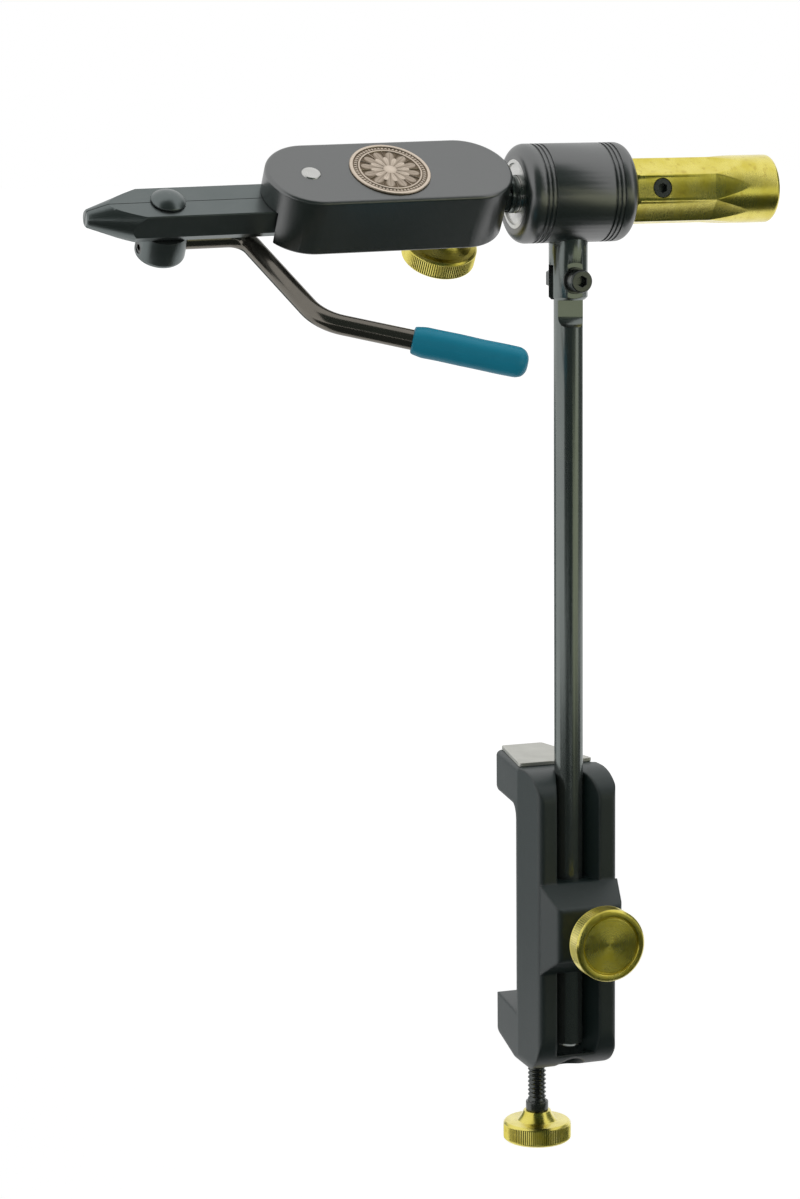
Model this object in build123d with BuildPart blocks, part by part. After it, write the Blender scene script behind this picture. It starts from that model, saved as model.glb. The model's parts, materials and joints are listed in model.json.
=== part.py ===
from build123d import *
import os
from math import cos, pi, radians, sin, tan

os.makedirs("parts", exist_ok=True)

# Lengths are in millimetres and angles in degrees.
# The origin is on the flat underside of the clamp's upper arm, on the clamp screw's axis.
# +Z runs up the stem, +X from the jaws to the rotary knob, +Y away from the user.

# Clearances shared by every fit
running_gap = 0.05
slide_gap = 0.1
seat_gap = 0.2
free_gap = 0.3
overrun = 3.0
hex_sides = 6

# Clamp casting
clamp_width = 27.8
clamp_tip_width = 19.0
stem_reach = 28.5
clamp_front = 8.5
clamp_back = 13.0
clamp_tip = 42.5
taper_start = 11.0
upper_arm_height = 13.2
throat_height = 71.6
lower_arm_height = 18.6
lower_arm_tip_height = 13.5
throat_corner = 5.0
arm_tip_round = 3.2
arm_toe_round = 5.0
arm_edge_round = 1.8
heel_round = 14.0
heel_corner_round = 5.0
crown_run = 14.0
crown_drop = 8.8
front_edge_round = 2.0
tip_corner_round = 2.5
channel_width = 15.4
channel_floor = 7.7

# Boss for the stem lock, on the front of the casting
lock_drop = 38.0
boss_base_height = 30.4
boss_face_height = 17.2
boss_face_width = 22.4
boss_face_reach = 19.0
boss_edge_round = 2.0

# Top plate
top_plate_thickness = 1.3
top_plate_front_width = 26.4
top_plate_tip_width = 14.8
top_plate_end = 41.9
top_plate_corner = 1.0

# Stem lock knob and stud
lock_stud_diameter = 6.35
lock_stud_chamfer = 0.8
lock_neck_diameter = 13.0
lock_neck_start = 20.2
lock_rim_start = 28.9
lock_rim_end = 36.0
knurled_knob_diameter = 24.0
knob_chamfer = 0.7
knob_rim_width = 2.2
knob_dish_step = 0.5
knob_dish_depth = 1.3
stud_seat = 3.0

# Clamp screw, knob and foot
clamp_screw_diameter = 6.35
clamp_screw_collar_diameter = 7.7
collar_top_drop = 108.2
collar_height = 3.3
clamp_screw_tip_diameter = 5.0
foot_top_drop = 46.0
foot_diameter = 12.7
foot_height = 5.0
foot_neck_diameter = 9.4
foot_neck_height = 4.0
foot_socket_roof = 3.0
foot_chamfer = 0.8
clamp_knob_diameter = 23.2
knob_cone_top_diameter = 9.3
knob_cone_base_diameter = 13.6
knob_cone_height = 3.5
knob_shoulder_drop = 0.1
clamp_knob_wheel_height = 6.7

# Stem and its tongue
stem_diameter = 9.525
stem_foot_drop = 80.2
stem_foot_chamfer = 1.0
hub_height = 203.6
hinge_drop = 28.0
stem_tongue_thickness = 3.8
stem_tongue_depth = 11.8
tongue_cutter_radius = 3.7

# Hub and its yoke
hub_diameter = 32.0
hub_length = 38.0
hub_end_round = 3.6
hub_bore_diameter = 16.0
hub_groove_count = 3
hub_groove_pitch = 1.5
hub_groove_width = 0.8
hub_groove_depth = 0.45
hub_groove_start = 10.4
yoke_diameter = 12.7
yoke_drop = 34.4
yoke_chamfer = 0.9
yoke_flat = 5.8
yoke_spot_diameter = 11.6
yoke_spigot_diameter = 8.0
yoke_spigot_height = 5.0
hinge_screw_diameter = 4.2
hinge_head_diameter = 7.4
hinge_head_height = 5.0
hinge_head_chamfer = 0.4
hinge_socket_width = 3.2
hinge_socket_depth = 2.6
hinge_washer_diameter = 8.6
hinge_washer_thickness = 0.9
hinge_nut_width = 7.2
hinge_nut_height = 4.6
hinge_screw_tail = 0.4

# Ball bearings, 3/8 inch bore
bearing_diameter = 22.225
bearing_width = 7.14
bearing_recess = 0.1
bearing_ring_thickness = 1.16
bearing_shield_thickness = 0.3
bearing_shield_recess = 0.6
bearing_ball_count = 9

# Rotary shaft and knob
shaft_diameter = 9.525
shaft_shoulder_diameter = 12.2
shaft_shoulder_length = 2.6
shaft_tongue_thickness = 6.0
shaft_seat_length = 40.0
rotary_knob_diameter = 22.2
rotary_knob_gap = 1.5
rotary_knob_length = 50.4
rotary_knob_flats = 8
flat_length = 27.3
flat_runout = 12.0
rotary_knob_end_round = 1.6
rotary_knob_front_chamfer = 0.6
knob_set_screw_diameter = 6.0
knob_set_screw_place = 8.5
knob_set_screw_angle = 7.5
set_screw_sink = 0.3
set_screw_socket_width = 3.0
set_screw_socket_depth = 2.0

# Head housing
pivot_reach = 40.0
head_roll = 34.4
head_swing = 1.6
head_width = 31.2
head_front_centre = 48.7
head_rear_centre = 2.2
head_top = 10.8
head_bottom = 9.5
head_top_round = 1.2
head_bottom_round = 0.8
swing_room = 9.0
lock_screw_diameter = 5.0
lock_screw_depth = 8.0
lock_neck_width = 12.0
lock_neck_height = 4.3
lock_flare_width = 19.5
lock_flare_height = 4.5
lock_wheel_height = 6.6
medallion_diameter = 26.2
medallion_place = 23.4
medallion_thickness = 1.6
medallion_sink = 1.0
medallion_rim_width = 1.3
medallion_rim_height = 0.4
dowel_diameter = 6.35
dowel_place = 49.75
dowel_stand = 0.35
dowel_chamfer = 0.4

# Jaws
jaw_width = 15.2
jaw_split = 0.2
jaw_top = 2.0
jaw_side_drop = 5.95
jaw_bottom_drop = 8.4
jaw_bevel_width = 12.2
jaw_tip = 121.1
jaw_tail = 29.1
jaw_room = 1.0
jaw_tail_relief = 2.5
nose_start = 103.1
nose_start_radius = 9.2
nose_tip_radius = 2.9
nose_tip_chamfer = 0.5
jaw_edge_chamfer = 0.35
spring_place = 37.1
spring_diameter = 5.0
spring_bore = 3.4
spring_pocket_depth = 3.0
spring_end_gap = 0.4

# Cam and lever
cam_place = 95.15
cam_long_radius = 4.6
cam_short_radius = 2.4
cam_rest_turn = 25.0
cam_pocket_gap = 0.12
dome_diameter = 11.0
dome_height = 3.0
dome_edge = 0.6
barrel_diameter = 16.0
barrel_height = 10.1
barrel_round = 2.0
cam_spigot_diameter = 4.4
cam_spigot_length = 7.5
rod_diameter = 6.35
rod_drop = 12.9
rod_seat_depth = 5.2
rod_first_bend = 68.1
rod_second_bend = 56.1
rod_second_side = 43.4
rod_end = -1.75
rod_end_side = 69.35
rod_first_radius = 7.0
rod_second_radius = 15.0
barrel_set_screw_drop = 14.2
barrel_set_screw_angle = 10.0
barrel_set_screw_diameter = 4.0
barrel_set_screw_length = 4.0
barrel_set_screw_socket = 2.0
grip_diameter = 9.65
grip_length = 34.4
grip_mouth_diameter = 8.5
grip_mouth_taper = 3.6
grip_mouth_round = 0.6
grip_end_cap = 2.0
grip_end_round = 3.8

# Working sizes that follow from the ones above
stem_radius = stem_diameter / 2
stem_bore = stem_radius + running_gap
knurled_radius = knurled_knob_diameter / 2
hinge_height = hub_height - hinge_drop
hub_half = hub_length / 2
hub_radius = hub_diameter / 2
shaft_radius = shaft_diameter / 2
bearing_face = hub_half - bearing_recess
clamp_bottom = -throat_height - lower_arm_height
boss_top = boss_base_height / 2 - lock_drop
boss_bottom = -boss_base_height / 2 - lock_drop
knob_flat = rotary_knob_diameter / 2 * cos(pi / rotary_knob_flats)
cam_rest_reach = (
    (cam_long_radius * sin(radians(cam_rest_turn))) ** 2
    + (cam_short_radius * cos(radians(cam_rest_turn))) ** 2
) ** 0.5

# Frames: each has x across or forward, z up, and y to complete it
stem_frame = Plane((0, -stem_reach, 0))
hub_frame = Plane((0, -stem_reach, hub_height))
tongue_frame = Plane(
    (-pivot_reach, -stem_reach, hub_height),
    x_dir=(-1, 0, 0),
    z_dir=(0, -sin(radians(head_roll)), cos(radians(head_roll))),
)
head_forward = tongue_frame.x_dir * cos(radians(head_swing)) + tongue_frame.y_dir * sin(radians(head_swing))
head_frame = Plane(tongue_frame.origin, x_dir=head_forward, z_dir=tongue_frame.z_dir)


def level(frame, x=0, y=0, z=0):
    """Plane through a point of a frame, parallel to the frame's floor."""
    return Plane(frame.from_local_coords((x, y, z)), x_dir=frame.x_dir, z_dir=frame.z_dir)


def upright(frame, x=0, y=0, z=0):
    """Plane with the frame's x across and its z up, facing the frame's -y."""
    return Plane(frame.from_local_coords((x, y, z)), x_dir=frame.x_dir, z_dir=-frame.y_dir)


def endwise(frame, x=0, y=0, z=0):
    """Plane with the frame's y across and its z up, facing the frame's +x."""
    return Plane(frame.from_local_coords((x, y, z)), x_dir=frame.y_dir, z_dir=frame.x_dir)


def line_through(frame, direction, x=0, y=0, z=0):
    """Turning axis through a point of a frame."""
    return Axis(frame.from_local_coords((x, y, z)), direction)


def turn(axis, outline, mode=Mode.ADD):
    """Revolve an outline of (distance along the axis, radius) points about the axis."""
    square = Plane(axis.position, z_dir=axis.direction)
    with BuildSketch(Plane(axis.position, x_dir=axis.direction, z_dir=square.x_dir)) as profile:
        with BuildLine():
            Polyline(*outline, close=True)
        make_face()
    revolve(profile.sketch, axis, mode=mode)


def cut_hex(axis, start, width, depth):
    """Cut a hexagon socket that opens at the start and runs back along the axis."""
    mouth = Plane(axis.position + axis.direction * start, z_dir=axis.direction)
    with BuildSketch(mouth) as socket:
        RegularPolygon(width / 2, hex_sides, major_radius=False)
    extrude(socket.sketch, amount=-depth, mode=Mode.SUBTRACT)


def ring(start, end, inner, outer):
    """Outline of a plain ring."""
    return [(start, inner), (start, outer), (end, outer), (end, inner)]


def rod(start, end, radius):
    """Outline of a plain rod."""
    return [(start, 0), (start, radius), (end, radius), (end, 0)]


def save(piece, name):
    """Name a finished piece and write it."""
    piece.part.label = name
    export_step(piece.part, f"parts/{name}.step")


# Clamp casting
half_width = clamp_width / 2
half_tip = clamp_tip_width / 2
half_channel = channel_width / 2
with BuildPart() as clamp_frame:
    with BuildSketch(endwise(stem_frame)) as c_profile:
        with BuildLine():
            Polyline(
                (-clamp_front, upper_arm_height - crown_drop),
                (-clamp_front, clamp_bottom),
                (clamp_tip, -throat_height - lower_arm_tip_height),
                (clamp_tip, -throat_height),
                (clamp_back, -throat_height),
                (clamp_back, 0),
                (clamp_tip, 0),
                (clamp_tip, upper_arm_height),
                (crown_run - clamp_front, upper_arm_height),
            )
            EllipticalCenterArc(
                (crown_run - clamp_front, upper_arm_height - crown_drop),
                crown_run,
                crown_drop,
                start_angle=90,
                arc_size=90,
            )
        make_face()
        fillet(c_profile.vertices().group_by(Axis.X)[-1].sort_by(Axis.Y)[0::2], arm_toe_round)
        for height in (-throat_height, upper_arm_height):
            arm_tips = c_profile.vertices().filter_by_position(Axis.X, clamp_tip, clamp_tip)
            fillet(arm_tips.filter_by_position(Axis.Y, height, height), arm_tip_round)
        fillet(c_profile.vertices().filter_by_position(Axis.X, clamp_back, clamp_back), throat_corner)
        fillet(c_profile.vertices().sort_by(Axis.Y)[0], heel_round)
    extrude(amount=half_width, both=True)
    with BuildSketch(level(stem_frame, z=clamp_bottom)) as plan:
        with BuildLine():
            Polyline(
                (-half_width, -clamp_front),
                (half_width, -clamp_front),
                (half_width, taper_start),
                (half_tip, clamp_tip),
                (-half_tip, clamp_tip),
                (-half_width, taper_start),
                close=True,
            )
        make_face()
        fillet(plan.vertices().group_by(Axis.Y)[0], front_edge_round)
        fillet(plan.vertices().group_by(Axis.Y)[-1], tip_corner_round)
    extrude(amount=upper_arm_height - clamp_bottom, mode=Mode.INTERSECT)
    with BuildSketch(upright(stem_frame)) as front_view:
        with Locations((0, clamp_bottom)):
            Rectangle(clamp_width, upper_arm_height - clamp_bottom, align=(Align.CENTER, Align.MIN))
        fillet(front_view.vertices().group_by(Axis.Y)[0], heel_corner_round)
    extrude(amount=clamp_tip + overrun, both=True, mode=Mode.INTERSECT)
    arm_edges = clamp_frame.edges().group_by(Axis.Z)[-1]
    fillet(
        arm_edges.filter_by_position(Axis.X, half_tip, half_width, (False, False))
        + arm_edges.filter_by_position(Axis.X, -half_width, -half_tip, (False, False)),
        arm_edge_round,
    )
    with BuildSketch(upright(stem_frame, y=-clamp_front, z=-lock_drop)):
        Rectangle(clamp_width, boss_base_height)
    with BuildSketch(upright(stem_frame, y=-boss_face_reach, z=-lock_drop)):
        Rectangle(boss_face_width, boss_face_height)
    loft()
    fillet(clamp_frame.faces().sort_by(Axis.Y)[0].edges(), boss_edge_round)
    with BuildSketch(level(stem_frame, z=clamp_bottom)):
        Circle(stem_bore)
    extrude(amount=upper_arm_height - clamp_bottom, mode=Mode.SUBTRACT)
    for start, height in (
        (boss_top, upper_arm_height - boss_top),
        (clamp_bottom + channel_floor, boss_bottom - clamp_bottom - channel_floor),
    ):
        with BuildSketch(level(stem_frame, z=start)):
            with BuildLine():
                Polyline(
                    (-stem_bore, 0),
                    (-half_channel, -clamp_front),
                    (-half_channel, -boss_face_reach),
                    (half_channel, -boss_face_reach),
                    (half_channel, -clamp_front),
                    (stem_bore, 0),
                    close=True,
                )
            make_face()
        extrude(amount=height, mode=Mode.SUBTRACT)
    lock_axis = line_through(stem_frame, (0, -1, 0), z=-lock_drop)
    turn(lock_axis, rod(0, boss_face_reach + overrun, lock_stud_diameter / 2 + running_gap), Mode.SUBTRACT)
    turn(
        Axis.Z,
        rod(clamp_bottom - overrun, overrun - throat_height, clamp_screw_diameter / 2 + running_gap),
        Mode.SUBTRACT,
    )
save(clamp_frame, "clamp_frame")

with BuildPart() as clamp_top_plate:
    with BuildSketch(level(stem_frame, z=upper_arm_height)) as plate_plan:
        with BuildLine():
            Polyline(
                (-top_plate_front_width / 2, taper_start),
                (top_plate_front_width / 2, taper_start),
                (top_plate_tip_width / 2, top_plate_end),
                (-top_plate_tip_width / 2, top_plate_end),
                close=True,
            )
        make_face()
        fillet(plate_plan.vertices(), top_plate_corner)
    extrude(amount=top_plate_thickness)
save(clamp_top_plate, "clamp_top_plate")

# Stem lock, measured from the stem's axis towards the user
stud_radius = lock_stud_diameter / 2
stud_tip = stem_radius + running_gap
stud_end = lock_rim_start + stud_seat
with BuildPart() as stem_lock_stud:
    turn(
        lock_axis,
        [
            (stud_tip, 0),
            (stud_tip, stud_radius - lock_stud_chamfer),
            (stud_tip + lock_stud_chamfer, stud_radius),
            (stud_end, stud_radius),
            (stud_end, 0),
        ],
    )
save(stem_lock_stud, "stem_lock_stud")

dish_radius = knurled_radius - knob_rim_width
with BuildPart() as stem_lock_knob:
    turn(
        lock_axis,
        [
            (lock_neck_start, stud_radius),
            (lock_neck_start, lock_neck_diameter / 2 - knob_chamfer),
            (lock_neck_start + knob_chamfer, lock_neck_diameter / 2),
            (lock_rim_start, lock_neck_diameter / 2),
            (lock_rim_start, knurled_radius - knob_chamfer),
            (lock_rim_start + knob_chamfer, knurled_radius),
            (lock_rim_end - knob_chamfer, knurled_radius),
            (lock_rim_end, knurled_radius - knob_chamfer),
            (lock_rim_end, dish_radius),
            (lock_rim_end - knob_dish_step, dish_radius),
            (lock_rim_end - knob_dish_depth, 0),
            (stud_end, 0),
            (stud_end, stud_radius),
        ],
    )
save(stem_lock_knob, "stem_lock_knob")

# Clamp foot, screw and knob, measured up the screw's axis
screw_radius = clamp_screw_diameter / 2
clamp_knob_radius = clamp_knob_diameter / 2
screw_tip_radius = clamp_screw_tip_diameter / 2
foot_radius = foot_diameter / 2
foot_under = -foot_top_drop - foot_height
foot_base = foot_under - foot_neck_height
socket_radius = screw_tip_radius + running_gap
socket_top = -foot_top_drop - foot_socket_roof
collar_top = -collar_top_drop
collar_base = collar_top - collar_height
shoulder_height = collar_base - knob_cone_height
wheel_top = shoulder_height - knob_shoulder_drop
wheel_base = wheel_top - clamp_knob_wheel_height
with BuildPart() as clamp_foot:
    turn(
        Axis.Z,
        [
            (foot_base, socket_radius),
            (foot_base, foot_neck_diameter / 2),
            (foot_under, foot_neck_diameter / 2),
            (foot_under, foot_radius),
            (-foot_top_drop - foot_chamfer, foot_radius),
            (-foot_top_drop, foot_radius - foot_chamfer),
            (-foot_top_drop, 0),
            (socket_top, 0),
            (socket_top, socket_radius),
        ],
    )
save(clamp_foot, "clamp_foot")

with BuildPart() as clamp_screw:
    turn(
        Axis.Z,
        [
            (socket_top - running_gap, 0),
            (socket_top - running_gap, screw_tip_radius),
            (foot_base - seat_gap, screw_tip_radius),
            (foot_base - seat_gap, screw_radius),
            (collar_top, screw_radius),
            (collar_top, clamp_screw_collar_diameter / 2),
            (collar_base, clamp_screw_collar_diameter / 2),
            (collar_base, screw_radius),
            (wheel_top - stud_seat, screw_radius),
            (wheel_top - stud_seat, 0),
        ],
    )
save(clamp_screw, "clamp_screw")

with BuildPart() as clamp_knob:
    turn(
        Axis.Z,
        [
            (collar_base, screw_radius),
            (collar_base, knob_cone_top_diameter / 2),
            (shoulder_height, knob_cone_base_diameter / 2),
            (wheel_top, clamp_knob_radius - knob_chamfer),
            (wheel_top - knob_chamfer, clamp_knob_radius),
            (wheel_base + knob_chamfer, clamp_knob_radius),
            (wheel_base, clamp_knob_radius - knob_chamfer),
            (wheel_base, clamp_knob_radius - knob_rim_width),
            (wheel_base + knob_dish_step, clamp_knob_radius - knob_rim_width),
            (wheel_base + knob_dish_depth, 0),
            (wheel_top - stud_seat, 0),
            (wheel_top - stud_seat, screw_radius),
        ],
    )
save(clamp_knob, "clamp_knob")

# Stem: a round rod whose top is milled to a tongue for the tilt hinge
hinge_axis = line_through(stem_frame, (0, -1, 0), z=hinge_height)
tongue_half = stem_tongue_thickness / 2
tongue_foot = hinge_height - stem_tongue_depth
with BuildPart() as stem:
    turn(
        line_through(stem_frame, (0, 0, 1)),
        [
            (-stem_foot_drop, 0),
            (-stem_foot_drop, stem_radius - stem_foot_chamfer),
            (stem_foot_chamfer - stem_foot_drop, stem_radius),
            (hinge_height + stem_radius, stem_radius),
            (hinge_height + stem_radius, 0),
        ],
    )
    with BuildSketch(upright(stem_frame, z=hinge_height)):
        with Locations((0, -hinge_height / 2 - stem_foot_drop / 2)):
            Rectangle(stem_diameter, hinge_height + stem_foot_drop)
        Circle(stem_radius)
    extrude(amount=stem_radius, both=True, mode=Mode.INTERSECT)
    for side in (1, -1):
        cheek = Plane(stem_frame.origin, x_dir=(0, side, 0), z_dir=(side, 0, 0))
        with BuildSketch(cheek):
            with BuildLine():
                CenterArc(
                    (tongue_half + tongue_cutter_radius, tongue_foot), tongue_cutter_radius, 180, 90
                )
                Polyline(
                    (tongue_half + tongue_cutter_radius, tongue_foot - tongue_cutter_radius),
                    (tongue_half + tongue_cutter_radius, hinge_height + stem_diameter),
                    (tongue_half, hinge_height + stem_diameter),
                    (tongue_half, tongue_foot),
                )
            make_face()
        extrude(amount=stem_diameter, both=True, mode=Mode.SUBTRACT)
    turn(
        hinge_axis,
        rod(-stem_diameter, stem_diameter, hinge_screw_diameter / 2 + running_gap),
        Mode.SUBTRACT,
    )
save(stem, "stem")

# Tilt hinge: a slotted stub under the hub, held on the tongue by a cap screw
hub_axis = line_through(hub_frame, (1, 0, 0))
pin_radius = hinge_screw_diameter / 2
with BuildPart() as hub_yoke:
    with BuildSketch(level(hub_frame, z=-yoke_drop)):
        Circle(yoke_diameter / 2)
    extrude(amount=yoke_drop - hub_radius / 2)
    chamfer(hub_yoke.edges().group_by(Axis.Z)[0], yoke_chamfer)
    turn(hub_axis, rod(-yoke_diameter, yoke_diameter, hub_radius), Mode.SUBTRACT)
    with BuildSketch(level(hub_frame, z=-hub_radius - yoke_spigot_height / 2)):
        Circle(yoke_spigot_diameter / 2)
    extrude(amount=yoke_spigot_height * 3 / 2)
    with BuildSketch(endwise(stem_frame, z=hinge_height + stem_radius + seat_gap)):
        Rectangle(stem_tongue_thickness + 2 * slide_gap, yoke_drop, align=(Align.CENTER, Align.MAX))
    extrude(amount=yoke_diameter, both=True, mode=Mode.SUBTRACT)
    for side in (1, -1):
        spot_axis = line_through(stem_frame, (0, side, 0), z=hinge_height)
        turn(spot_axis, rod(yoke_flat, yoke_diameter, yoke_spot_diameter / 2), Mode.SUBTRACT)
    turn(hinge_axis, rod(-yoke_diameter, yoke_diameter, pin_radius), Mode.SUBTRACT)
save(hub_yoke, "hub_yoke")

head_start = yoke_flat + hinge_washer_thickness
head_end = head_start + hinge_head_height
nut_end = yoke_flat + hinge_nut_height
with BuildPart() as hinge_screw:
    turn(
        hinge_axis,
        [
            (-nut_end - hinge_screw_tail, 0),
            (-nut_end - hinge_screw_tail, pin_radius),
            (head_start, pin_radius),
            (head_start, hinge_head_diameter / 2),
            (head_end - hinge_head_chamfer, hinge_head_diameter / 2),
            (head_end, hinge_head_diameter / 2 - hinge_head_chamfer),
            (head_end, 0),
        ],
    )
    cut_hex(hinge_axis, head_end, hinge_socket_width, hinge_socket_depth)
save(hinge_screw, "hinge_screw")

with BuildPart() as hinge_washer:
    turn(hinge_axis, ring(yoke_flat, head_start, pin_radius, hinge_washer_diameter / 2))
save(hinge_washer, "hinge_washer")

with BuildPart() as hinge_nut:
    with BuildSketch(Plane(hinge_axis.position - hinge_axis.direction * yoke_flat, z_dir=(0, 1, 0))):
        RegularPolygon(hinge_nut_width / 2, hex_sides, major_radius=False)
        Circle(pin_radius, mode=Mode.SUBTRACT)
    extrude(amount=hinge_nut_height)
save(hinge_nut, "hinge_nut")

# Hub barrel with a bearing seat in each end and a spigot hole below
seat_depth = bearing_width + bearing_recess
with BuildPart() as hub_shell:
    with BuildSketch(upright(hub_frame)) as barrel_profile:
        with BuildLine():
            Polyline(
                (-hub_half, bearing_diameter / 2),
                (-hub_half, hub_radius),
                (hub_half, hub_radius),
                (hub_half, bearing_diameter / 2),
                (hub_half - seat_depth, bearing_diameter / 2),
                (hub_half - seat_depth, hub_bore_diameter / 2),
                (seat_depth - hub_half, hub_bore_diameter / 2),
                (seat_depth - hub_half, bearing_diameter / 2),
                close=True,
            )
        make_face()
        fillet(barrel_profile.vertices().group_by(Axis.Y)[-1], hub_end_round)
    revolve(axis=hub_axis)
    for side in (1, -1):
        for number in range(hub_groove_count):
            middle = side * (hub_groove_start + number * hub_groove_pitch)
            turn(
                hub_axis,
                ring(
                    middle - hub_groove_width / 2,
                    middle + hub_groove_width / 2,
                    hub_radius - hub_groove_depth,
                    hub_radius + overrun,
                ),
                Mode.SUBTRACT,
            )
    with BuildSketch(level(hub_frame, z=-hub_radius - overrun)):
        Circle(yoke_spigot_diameter / 2)
    extrude(amount=overrun + yoke_spigot_height, mode=Mode.SUBTRACT)
save(hub_shell, "hub_shell")

# Bearings, the same at both ends
outer_race = bearing_diameter / 2 - bearing_ring_thickness
inner_race = shaft_radius + bearing_ring_thickness
ball_circle = (outer_race + inner_race) / 2
ball_radius = (outer_race - inner_race) / 2 - running_gap
for end_name, side in (("front", -1), ("rear", 1)):
    end_axis = line_through(hub_frame, (side, 0, 0))
    inner_end = bearing_face - bearing_width
    with BuildPart() as outer_ring:
        turn(end_axis, ring(inner_end, bearing_face, outer_race, bearing_diameter / 2))
    save(outer_ring, f"{end_name}_bearing_outer_ring")
    with BuildPart() as inner_ring:
        turn(end_axis, ring(inner_end, bearing_face, shaft_radius, inner_race))
    save(inner_ring, f"{end_name}_bearing_inner_ring")
    shield_face = bearing_face - bearing_shield_recess
    with BuildPart() as shield:
        turn(
            end_axis,
            ring(shield_face - bearing_shield_thickness, shield_face, inner_race + seat_gap, outer_race),
        )
    save(shield, f"{end_name}_bearing_shield")
    with BuildPart() as balls:
        with Locations(endwise(hub_frame, x=side * (bearing_face - bearing_width / 2))):
            with PolarLocations(ball_circle, bearing_ball_count):
                Sphere(ball_radius)
    save(balls, f"{end_name}_bearing_balls")

# Rotary shaft: round through the bearings, flat where the head clamps it
shoulder_start = -bearing_face - shaft_shoulder_length
knob_start = hub_half + rotary_knob_gap
with BuildPart() as shaft:
    turn(
        hub_axis,
        [
            (shoulder_start, 0),
            (shoulder_start, shaft_shoulder_diameter / 2),
            (-bearing_face, shaft_shoulder_diameter / 2),
            (-bearing_face, shaft_radius),
            (knob_start + shaft_seat_length, shaft_radius),
            (knob_start + shaft_seat_length, 0),
        ],
    )
    tongue_length = pivot_reach + shoulder_start
    with BuildSketch(level(tongue_frame, z=-shaft_tongue_thickness / 2)):
        Rectangle(tongue_length, shaft_diameter, align=(Align.MAX, Align.CENTER))
        Circle(shaft_radius)
        Circle(lock_screw_diameter / 2 + running_gap, mode=Mode.SUBTRACT)
    extrude(amount=shaft_tongue_thickness)
save(shaft, "shaft")

# Rotary knob: a round bar with flats that run out before its rear end
knob_radius = rotary_knob_diameter / 2
knob_end = knob_start + rotary_knob_length
set_screw_lift = radians(knob_set_screw_angle)
set_screw_axis = line_through(
    hub_frame, (0, -cos(set_screw_lift), sin(set_screw_lift)), x=knob_start + knob_set_screw_place
)
flat_plane = Plane(
    hub_frame.from_local_coords((knob_start, 0, 0)), x_dir=set_screw_axis.direction, z_dir=(1, 0, 0)
)
with BuildPart() as rotary_knob:
    with BuildSketch(flat_plane):
        RegularPolygon(knob_flat, rotary_knob_flats, major_radius=False, rotation=180 / rotary_knob_flats)
    extrude(amount=flat_length)
    with BuildSketch(flat_plane.offset(flat_length)):
        RegularPolygon(knob_flat, rotary_knob_flats, major_radius=False, rotation=180 / rotary_knob_flats)
    with BuildSketch(flat_plane.offset(flat_length + flat_runout)):
        RegularPolygon(knob_radius, rotary_knob_flats, major_radius=False, rotation=180 / rotary_knob_flats)
    loft()
    with BuildSketch(flat_plane.offset(flat_length + flat_runout)):
        RegularPolygon(knob_radius, rotary_knob_flats, major_radius=False, rotation=180 / rotary_knob_flats)
    extrude(amount=rotary_knob_length - flat_length - flat_runout)
    with BuildSketch(upright(hub_frame)) as bar_profile:
        with BuildLine():
            Polyline(
                (knob_start, shaft_radius),
                (knob_start, knob_radius - rotary_knob_front_chamfer),
                (knob_start + rotary_knob_front_chamfer, knob_radius),
                (knob_end, knob_radius),
                (knob_end, 0),
                (knob_start + shaft_seat_length, 0),
                (knob_start + shaft_seat_length, shaft_radius),
                close=True,
            )
        make_face()
        fillet(bar_profile.vertices().group_by(Axis.X)[-1].sort_by(Axis.Y)[-1], rotary_knob_end_round)
    revolve(axis=hub_axis, mode=Mode.INTERSECT)
    turn(set_screw_axis, rod(0, knob_radius + overrun, knob_set_screw_diameter / 2), Mode.SUBTRACT)
save(rotary_knob, "rotary_knob")

with BuildPart() as knob_set_screw:
    turn(set_screw_axis, rod(shaft_radius, knob_flat - set_screw_sink, knob_set_screw_diameter / 2))
    turn(hub_axis, rod(knob_start, knob_end, shaft_radius), Mode.SUBTRACT)
    cut_hex(set_screw_axis, knob_flat - set_screw_sink, set_screw_socket_width, set_screw_socket_depth)
save(knob_set_screw, "knob_set_screw")

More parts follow.
